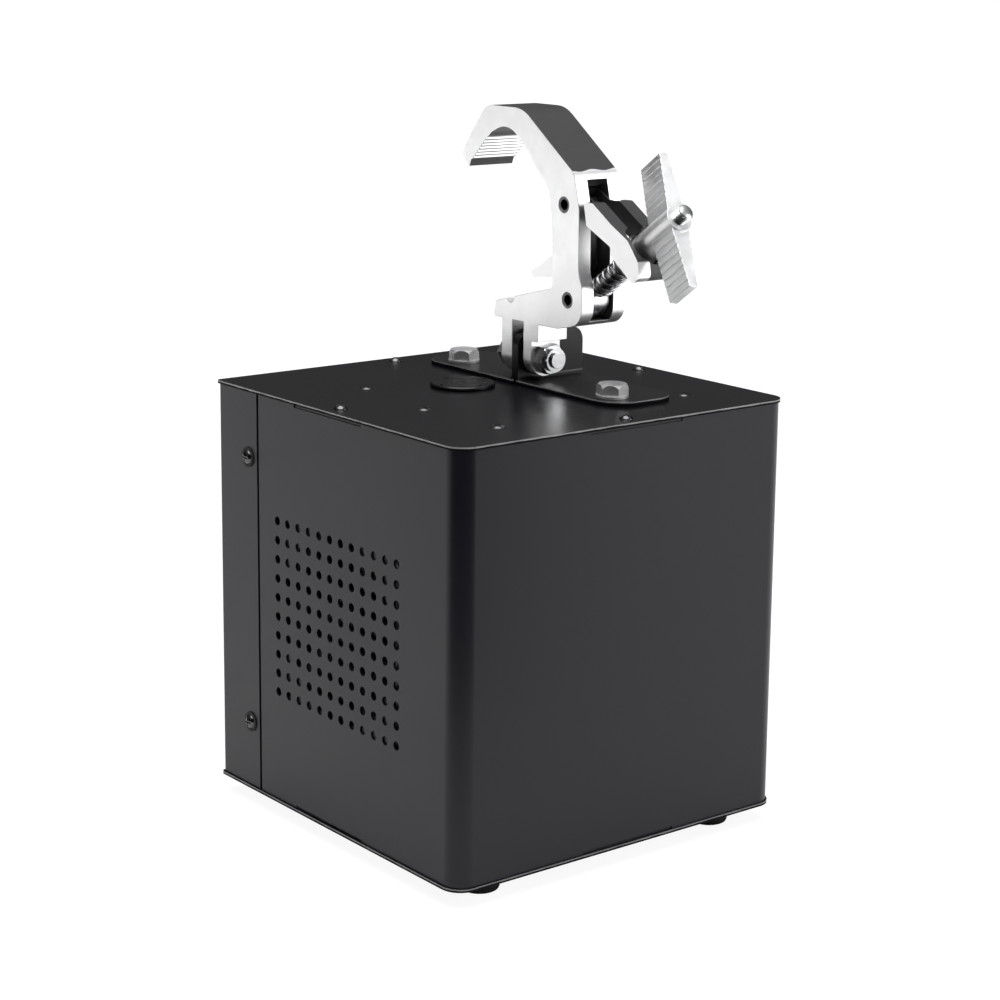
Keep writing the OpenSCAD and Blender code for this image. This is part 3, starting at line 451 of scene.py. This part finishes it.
def clamp_metal():
    """Tumbled cast aluminium, left bright on its flanks and painted along the outside band and inside the hook; painted
    shade darkens the fork slot walls and the serration grooves.
    """
    g = Graph("clamp_alu")
    fine = g.noise(1100, 3, 0.6)
    cast = g.noise(260, 4, 0.6)
    cloud = g.noise(55, 3, 0.6)
    px, py, pz = g.xyz(g.coord())
    nx, ny, nz = g.xyz(g.normal())
    side = g.math("ABSOLUTE", nx)
    # flank faces stay bare
    edge_noise = g.ramp(g.noise(320, 2), -0.06, 0.06)
    off = g.math("ABSOLUTE", g.math("SUBTRACT", px, XC * MM))
    bare = g.math("MULTIPLY", g.ramp(g.math("ADD", side, edge_noise), 0, 1, 0.80, 0.93), g.ramp(off, 0, 1, 0.0156, 0.0160))
    # painted shade: the walls inside the fork slot take the dark coat colour
    slot = g.math("MULTIPLY", g.ramp(side, 0, 1, 0.5, 0.7), g.ramp(off, 1, 0, 0.0090, 0.0100))
    # painted only above a wavy line on the back, and inside the hook
    wavy = g.math("MULTIPLY", g.math("SINE", g.math("MULTIPLY", px, 330.0)), 0.0005)
    line = g.math("ADD", g.math("ADD", pz, wavy), 0.0)
    upper = g.ramp(line, 0, 1, (ZT + 118.0) * MM, (ZT + 118.5) * MM)
    MAT["clamp_alu"] = g.m
    outward = g.ramp(g.math("MULTIPLY", ny, -1.0), 0, 1, -0.75, -0.60)
    # the serrated flat faces down and back, so it is left bare
    flat = g.math("MULTIPLY", g.ramp(g.math("MULTIPLY", nz, -1.0), 0, 1, 0.06, 0.12), g.ramp(g.math("MULTIPLY", ny, -1.0), 0, 1, 0.06, 0.12))
    tooth_zone = g.math("MULTIPLY", g.ramp(py, 0, 1, (YC + 31.2) * MM, (YC + 31.8) * MM), g.ramp(g.math("SUBTRACT", pz, 0.0), 1, 0, (ZT + 134) * MM, (ZT + 136) * MM))
    coat_and_shade = g.math("MULTIPLY", upper, g.math("SUBTRACT", 1.0, bare))
    tooth = g.math("MULTIPLY", tooth_zone, flat)
    coat_and_shade = g.math("MULTIPLY", coat_and_shade, g.math("SUBTRACT", 1.0, tooth))
    # painted shade: dark lines along the grooves between the serration teeth
    along = g.math("SUBTRACT", py, pz)
    step = g.math("FRACT", g.math("DIVIDE", g.math("SUBTRACT", along, (YC - ZT - 100.5) * MM), 0.0041333))
    groove = g.math("MULTIPLY", tooth, g.math("MAXIMUM", g.ramp(step, 0, 1, 0.84, 0.90), g.ramp(step, 1, 0, 0.02, 0.06)))
    coat_and_shade = g.math("MAXIMUM", coat_and_shade, groove)
    tip = g.math("MULTIPLY", g.ramp(py, 0, 1, (YC + 46) * MM, (YC + 48) * MM), g.math("MULTIPLY", g.math("SUBTRACT", 1.0, bare), g.ramp(pz, 1, 0, (ZT + 119) * MM, (ZT + 121) * MM)))
    coat_and_shade = g.math("MAXIMUM", coat_and_shade, tip)
    coat_and_shade = g.math("MAXIMUM", coat_and_shade, slot)
    # a thin darker line on the bevel where flank meets edge
    rim = g.math("MULTIPLY", g.ramp(off, 0, 1, 0.01615, 0.01645), g.math("MULTIPLY", g.ramp(side, 0, 1, 0.12, 0.3), g.ramp(side, 1, 0, 0.80, 0.93)))
    coat_and_shade = g.math("MAXIMUM", coat_and_shade, g.math("MULTIPLY", rim, 0.75))
    bright = g.mix(g.ramp(cloud, 0, 1, 0.35, 0.7), (0.90, 0.90, 0.905), (0.965, 0.965, 0.965))
    g.set(
        base=g.mix(coat_and_shade, bright, g.mix(cast, (0.012, 0.012, 0.013), (0.022, 0.022, 0.024))),
        metal=g.math("SUBTRACT", 1.0, coat_and_shade),
        rough=g.mixf(coat_and_shade, g.ramp(fine, 0.34, 0.46), g.ramp(cast, 0.40, 0.52)),
    )
    h = g.mixf(coat_and_shade, g.math("MULTIPLY", fine, 0.35), cast)
    g.use_bump(g.bump(h, 0.00010, 0.6))
    return g.m


clamp_metal()


def lever_metal():
    g = Graph("lever_paint")
    fine = g.noise(1100, 3, 0.6)
    cast = g.noise(300, 4, 0.6)
    nx, ny, nz = g.xyz(g.normal())
    px, py, pz = g.xyz(g.coord())
    off = g.math("ABSOLUTE", g.math("SUBTRACT", px, XC * MM))
    flank = g.math("MULTIPLY", g.ramp(g.math("ADD", g.math("ABSOLUTE", nx), g.ramp(g.noise(350, 2), -0.06, 0.06)), 0, 1, 0.80, 0.93), g.ramp(off, 0, 1, 0.0144, 0.0148))
    # the toe of the fork is bare below and at its end
    toe = g.math("MULTIPLY", g.ramp(py, 1, 0, (YC - 84) * MM, (YC - 82) * MM), g.ramp(g.math("SUBTRACT", g.math("MULTIPLY", ny, -0.9), nz), 0, 1, 0.35, 0.6))
    bare = g.math("MAXIMUM", flank, g.math("MULTIPLY", toe, g.ramp(off, 0, 1, 0.0060, 0.0066)))
    # so is the tongue that reaches in under the tube
    bare = g.math("MAXIMUM", bare, g.ramp(py, 0, 1, (YC - 31.5) * MM, (YC - 30.5) * MM))
    g.set(
        base=g.mix(bare, g.mix(cast, (0.013, 0.013, 0.014), (0.024, 0.024, 0.026)), (0.88, 0.88, 0.885)),
        metal=bare,
        rough=g.mixf(bare, g.ramp(cast, 0.38, 0.5), g.ramp(fine, 0.32, 0.44)),
    )
    g.use_bump(g.bump(g.mixf(bare, cast, g.math("MULTIPLY", fine, 0.35)), 0.0001, 0.6))
    MAT["lever_paint"] = g.m
    return g.m


lever_metal()

# ------------------------------------------------------------------ CAD nodes that stay


def finish_node(name, material, bevel=0.25, segments=2, angle=30, dissolve=True):
    """A CAD node keeps its mesh. Modifiers close its shading seams and break its edges."""
    o = nodes[name]
    me = o.data
    if me.attributes.get("custom_normal"):
        me.attributes.remove(me.attributes["custom_normal"])
    me.polygons.foreach_set("use_smooth", [True] * len(me.polygons))
    me.materials.clear()
    for m in material if isinstance(material, (list, tuple)) else [material]:
        me.materials.append(MAT[m])
    w = o.modifiers.new("weld", "WELD")
    w.merge_threshold = 2e-6
    if dissolve:
        d = o.modifiers.new("flat", "DECIMATE")
        d.decimate_type = "DISSOLVE"
        d.angle_limit = math.radians(0.4)
    if bevel:
        b = o.modifiers.new("edge", "BEVEL")
        b.width = bevel * MM
        b.segments = segments
        b.limit_method = "ANGLE"
        b.angle_limit = math.radians(angle)
        b.use_clamp_overlap = True
        b.miter_outer = "MITER_SHARP"
    n = o.modifiers.new("normals", "WEIGHTED_NORMAL")
    n.weight = 60
    n.keep_sharp = False
    return o


def by_face(name, rule):
    """Gives each face of a node a material slot, from its centre in mm and its normal."""
    for p in nodes[name].data.polygons:
        p.material_index = rule(p.center / MM, p.normal)


finish_node("wrap_shell", "case_coat", 0.3)
finish_node("rear_panel", "case_coat", 0.3)
finish_node("top_plate", ["plate_coat", "top_edge"], 0.25)
finish_node("bottom_plate", ["plate_coat", "bottom_edge"], 0.25)
for b in ("top_plate", "bottom_plate"):
    by_face(b, lambda c, n: 1 if abs(n.z) < 0.3 and max(abs(c.x), abs(c.y)) > 116 and n.x * c.x + n.y * c.y > 0 else 0)
finish_node("rubber_feet", "rubber", 0.5)
finish_node("foot_screws", "zinc", 0.15)
finish_node("top_edge_screws", "black_screw", 0.12)
finish_node("top_fixing_screws", "black_screw", 0.12)
finish_node("side_screws", "black_screw", 0.12)
finish_node("side_screw_washers", "rubber", 0.1)
finish_node("bottom_screws", "black_screw", 0.12)
for b in ("front", "rear"):
    finish_node("bracket_angle_" + b, ["bracket_coat", "strip_edge"], 0.25)
    by_face("bracket_angle_" + b, lambda c, n: 1 if abs(n.x) > 0.7 or abs(n.z) < 0.3 and c.z < 271.05 and abs(c.y - 4.5) > 6 else 0)
finish_node("bracket_bolts", "grey_bolt", 0.25)
finish_node("bracket_washers", "grey_bolt", 0.2)
finish_node("bracket_nuts", "zinc", 0.2)
finish_node("tilt_bolt", "bright_bolt", 0.25)
finish_node("tilt_nut", "bright_bolt", 0.2)
finish_node("tilt_washers", "black_plastic", 0.15)
finish_node("clamp_body", "clamp_alu", 0.55, 3)
finish_node("jaw_pin", "pin_steel", 0.25)
finish_node("eye_bolt_pin", "pin_steel", 0.25)
finish_node("jaw_lever", "lever_paint", 0.5, 3)
finish_node("eye_bolt", "eye_steel", 0.25)
finish_node("saddle_washer", "black_screw", 0.2)
finish_node("wing_nut", "wing_metal", 0.3)
finish_node("filler_cap", "plate_coat", 0.2)
finish_node("filler_neck", "black_plastic", 0.2)
finish_node("fluid_tank", "tank_plastic", 0.8)
finish_node("pickup_tube", "hose", 0.2)
finish_node("pump_body", "brass", 0.3)
finish_node("pump_coil", "black_plastic", 0.6)
finish_node("pump_plunger", "bright_bolt", 0.3)
finish_node("pump_bracket", "zinc", 0.2)
finish_node("suction_hose", "hose", 0, dissolve=False)
finish_node("pressure_pipe", "copper", 0, dissolve=False)
finish_node("heater_block", "heater_alu", 0.5)
finish_node("heater_element", "socket_metal", 0.2)
finish_node("heater_insulation", "insulation", 0.5)
finish_node("heater_shield", "zinc", 0)
finish_node("thermostat", "black_plastic", 0.2)
finish_node("fog_nozzle", "brass", 0.2)
finish_node("outlet_collar", "case_coat", 0.3)
finish_node("power_supply", ["pcb_green", "zinc", "black_plastic", "tape", "heater_alu"], 0.3)
by_face("power_supply", lambda c, n: 1 if c.z < 18.9 else 0 if c.z < 20.7 else 2 if c.x < -66 else 3 if c.x < -28 else 4)
finish_node("control_board", ["pcb_green", "zinc", "black_plastic"], 0.2)
by_face("control_board", lambda c, n: 0 if 99.95 <= c.y <= 101.65 else 2 if c.y < 99.95 or 150.5 < c.z < 190 else 1)
finish_node("display_module", "black_plastic", 0.4)
finish_node("display_window", "glass", 0.2)
for b in ("menu", "down", "up", "enter"):
    finish_node("button_" + b, "black_plastic", 0.3)
finish_node("power_inlet", ["black_plastic", "zinc"], 0.3)
finish_node("fuse_drawer", "black_plastic", 0.2)
finish_node("dmx_in_socket", ["socket_metal", "black_plastic", "zinc"], 0.25)
finish_node("dmx_out_socket", ["socket_metal", "black_plastic", "zinc"], 0.25)


def socket_rule(cx, cz, pins):
    def rule(c, n):
        if any(math.hypot(c.x - cx - a, c.z - cz - b) < 1.35 for a, b in pins):
            return 2
        out = math.hypot(c.x - cx, c.z - cz) > 9.3
        return 0 if c.y > 123.9 and (out or c.y > 125.9) else 1
    return rule


pins = [(5 * math.cos(math.radians(a)), 5 * math.sin(math.radians(a))) for a in (90, 210, 330)]
by_face("dmx_in_socket", socket_rule(-80.0, 195.0, pins))
by_face("dmx_out_socket", socket_rule(-45.0, 195.0, [(a * 0.84, b * 0.84) for a, b in pins]))
by_face("power_inlet", lambda c, n: 1 if c.y < 120.1 and any(abs(c.x + 70 - a) < 1.1 and abs(c.z - 62 - b) < 2.6 for a, b in ((-7, 4.5), (0, 9.5), (7, 4.5), (-7, 6), (0, 9), (7, 6))) else 0)
finish_node("fan_frame", "black_plastic", 0)
finish_node("fan_rotor", "black_plastic", 0.2)
finish_node("wiring_loom", "wire", 0, dissolve=False)

# ------------------------------------------------------------------ new pieces


def to_object(name, verts, faces, material, body, smooth=True, bevel=0.0, angle=30, segments=2, weighted=True, cuts=()):
    me = bpy.data.meshes.new(name)
    me.from_pydata([tuple(Vector(v) * MM) for v in verts], [], faces)
    me.validate()
    bm = bmesh.new()
    bm.from_mesh(me)
    for point, normal in cuts:
        bmesh.ops.bisect_plane(bm, geom=bm.verts[:] + bm.edges[:] + bm.faces[:], dist=1e-8,
                               plane_co=tuple(Vector(point) * MM), plane_no=tuple(normal), clear_outer=True)
    bmesh.ops.remove_doubles(bm, verts=bm.verts, dist=1e-7)
    bmesh.ops.dissolve_degenerate(bm, edges=bm.edges, dist=1e-7)
    bmesh.ops.holes_fill(bm, edges=[e for e in bm.edges if e.is_boundary], sides=0)
    bmesh.ops.recalc_face_normals(bm, faces=bm.faces)
    bm.to_mesh(me)
    bm.free()
    me.polygons.foreach_set("use_smooth", [smooth] * len(me.polygons))
    o = bpy.data.objects.new(name, me)
    scene.collection.objects.link(o)
    me.materials.append(MAT[material])
    if bevel:
        b = o.modifiers.new("edge", "BEVEL")
        b.width, b.segments, b.limit_method, b.angle_limit = bevel * MM, segments, "ANGLE", math.radians(angle)
    if weighted:
        n = o.modifiers.new("normals", "WEIGHTED_NORMAL")
        n.weight = 60
    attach(o, body)
    return o


def tube(points, radius, sides=14):
    """Vertices and faces of a round tube along points, with closed ends."""
    p = [Vector(q) for q in points]
    verts, faces, prev = [], [], None
    for i, q in enumerate(p):
        t = (p[min(i + 1, len(p) - 1)] - p[max(i - 1, 0)]).normalized()
        if prev is None:
            prev = t.cross(Vector((0, 0, 1)) if abs(t.z) < 0.9 else Vector((0, 1, 0))).normalized()
        else:
            prev = (prev - prev.dot(t) * t).normalized()
        b = t.cross(prev)
        for k in range(sides):
            a = 2 * math.pi * k / sides
            verts.append(q + radius * (math.cos(a) * prev + math.sin(a) * b))
    for i in range(len(p) - 1):
        for k in range(sides):
            faces.append((i * sides + k, (i + 1) * sides + k, (i + 1) * sides + (k + 1) % sides, i * sides + (k + 1) % sides))
    faces.append(tuple(range(sides)))
    faces.append(tuple((len(p) - 1) * sides + k for k in reversed(range(sides))))
    return verts, faces


def jaw_spring():
    s0, s1, r, wire, turns = 13.2, 46.6, 6.2, 1.1, 6.5
    steps = int(turns * 40)
    f = bolt_frame(s0)
    pts = []
    for i in range(steps + 1):
        t = i / steps
        a = 2 * math.pi * turns * t
        u = t * 0.4 if t < 0.08 else (1 - (1 - t) * 0.4 if t > 0.92 else 0.032 + (t - 0.08) * 0.936 / 0.84)
        pts.append(f @ Vector((r * math.cos(a), r * math.sin(a), (s1 - s0) * u)))
    v, fc = tube(pts, wire, 14)
    o = to_object("jaw_spring_coil", v, fc, "spring_steel", "eye_bolt", weighted=False)
    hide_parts("jaw_spring")
    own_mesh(o)


jaw_spring()


def eye_bolt():
    """Turned eye, plain shank and a real M10 thread that runs out past the wing nut."""
    # thread: one column of rings, each turn of the helix joined to the next
    sides, pitch, z0, z1 = 40, 1.5, 37.0, 103.3
    profile = ((0.0, 5.0), (0.14, 5.0), (0.5, 4.12), (0.64, 4.12))
    f = bolt_frame(0)
    rows = 4 * int((z1 - z0) / pitch + 4)
    verts, faces = [], []
    for k in range(sides):
        a = 2 * math.pi * k / sides
        for i in range(rows + 1):
            off, rad = profile[i % 4]
            z = z0 + pitch * (i // 4 + off + k / sides)
            verts.append(f @ Vector((rad * math.cos(a), rad * math.sin(a), z)))
    n = rows + 1
    for k in range(sides):
        for i in range(rows):
            if k < sides - 1:
                faces.append((k * n + i, (k + 1) * n + i, (k + 1) * n + i + 1, k * n + i + 1))
            elif i + 5 <= rows:
                faces.append((k * n + i, i + 4, i + 5, k * n + i + 1))
    d = (f.to_3x3() @ Vector((0, 0, 1))).normalized()
    ends = ((f @ Vector((0, 0, z0 + 1.6)), -d), (f @ Vector((0, 0, z1)), d))
    o = to_object("eye_bolt_thread", verts, faces, "eye_steel", "eye_bolt", cuts=ends)
    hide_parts("eye_bolt")

    def lathe(name, prof, axis, seg=48):
        v, fc = [], []
        m = len(prof)
        for k in range(seg):
            a = 2 * math.pi * k / seg
            for h, rad in prof:
                q = (h, rad * math.cos(a), rad * math.sin(a)) if axis == "X" else (rad * math.cos(a), rad * math.sin(a), h)
                v.append(f @ Vector(q))
        for k in range(seg):
            for i in range(m):
                j, l = (i + 1) % m, (k + 1) % seg
                fc.append((k * m + i, k * m + j, l * m + j, l * m + i))
        return to_object(name, v, fc, "eye_steel", "eye_bolt")

    lathe("eye_bolt_eye", ((-7.2, 4.92), (-7.2, 10.4), (-6.6, 11.0), (6.6, 11.0), (7.2, 10.4), (7.2, 4.92)), "X")
    lathe("eye_bolt_shank", ((8.5, 0.05), (8.5, 5.0), (38.6, 5.0), (39.4, 4.3), (39.4, 0.05)), "Z")
    lathe("eye_bolt_tip", ((102.2, 0.05), (102.2, 4.55), (103.2, 4.55), (104.0, 3.9), (104.0, 0.05)), "Z")


eye_bolt()
